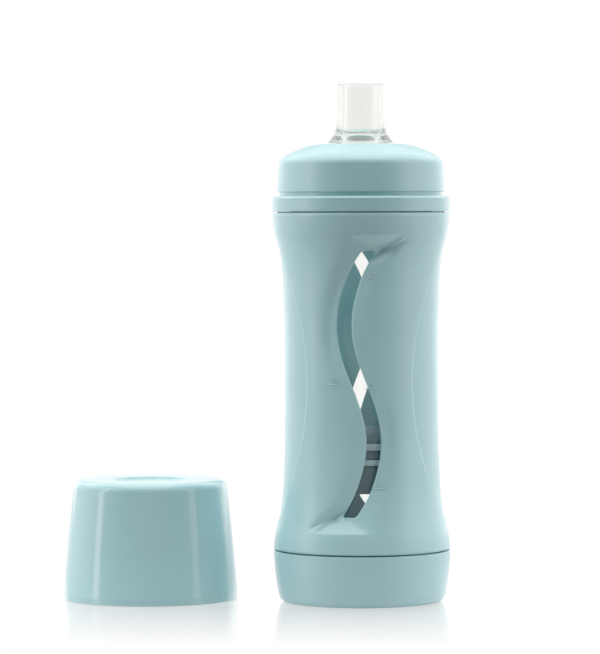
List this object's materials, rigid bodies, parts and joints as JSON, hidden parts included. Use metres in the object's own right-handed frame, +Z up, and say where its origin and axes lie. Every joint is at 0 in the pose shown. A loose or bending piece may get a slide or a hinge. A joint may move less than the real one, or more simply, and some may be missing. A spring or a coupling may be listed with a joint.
{
  "type": "baby food bottle",
  "caption": "Upright feeding bottle with a soft straight spout, screw collar, hourglass sleeve with S-shaped windows, rising platform inside, screw base and separate dust cap.",
  "frame": {"origin": "centre of the base's flat underside, on the bottle's own axis", "axes": "+Z up along the bottle's axis, -Y towards the front window, +X to the right as seen from the front; the dust cap stands at -X"},
  "size_m": [0.1411, 0.0716, 0.1867],
  "materials": {
    "satin_plastic": "satin",
    "platform_plastic": "satin",
    "gloss_plastic": "gloss",
    "clear_plastic": "polished",
    "clear_silicone": "satin",
    "teal_silicone": "matte"
  },
  "bodies": {
    "base": {"base_cup": "satin_plastic"},
    "base_ring": {"base_seal": "teal_silicone"},
    "bottle": {"casing": "satin_plastic", "chamber": "clear_plastic"},
    "platform": {"platform": "platform_plastic", "platform_top_seal": "teal_silicone", "platform_lower_seal": "teal_silicone"},
    "spout": {"spout": "clear_silicone"},
    "collar": {"collar": "satin_plastic"},
    "cap": {"dust_cap": "gloss_plastic"}
  },
  "joints": [
    {"name": "seal_lift", "type": "slide", "parent": "base", "child": "base_ring", "axis": [0, 0, 1], "range_m": [0, 0.0045]},
    {"name": "bottle_unscrew", "type": "hinge", "parent": "base_ring", "child": "bottle", "pos_m": [0, 0, 0.0185], "axis": [0, 0, 1], "range_deg": [0, 400]},
    {"name": "platform_slide", "type": "slide", "parent": "bottle", "child": "platform", "axis": [0, 0, 1], "range_m": [-0.0341, 0.0935]},
    {"name": "spout_lift", "type": "slide", "parent": "bottle", "child": "spout", "axis": [0, 0, 1], "range_m": [0, 0.0045]},
    {"name": "collar_unscrew", "type": "hinge", "parent": "spout", "child": "collar", "pos_m": [0, 0, 0.1409], "axis": [0, 0, 1], "range_deg": [0, 400]},
    {"name": "cap_lift", "type": "slide", "parent": "base", "child": "cap", "axis": [0, 0, 1], "range_m": [0, 0.2]}
  ],
  "couplings": [
    {"joint": "seal_lift", "follows": "bottle_unscrew", "m_per_rad": 0.00063662},
    {"joint": "spout_lift", "follows": "collar_unscrew", "m_per_rad": 0.00063662}
  ]
}
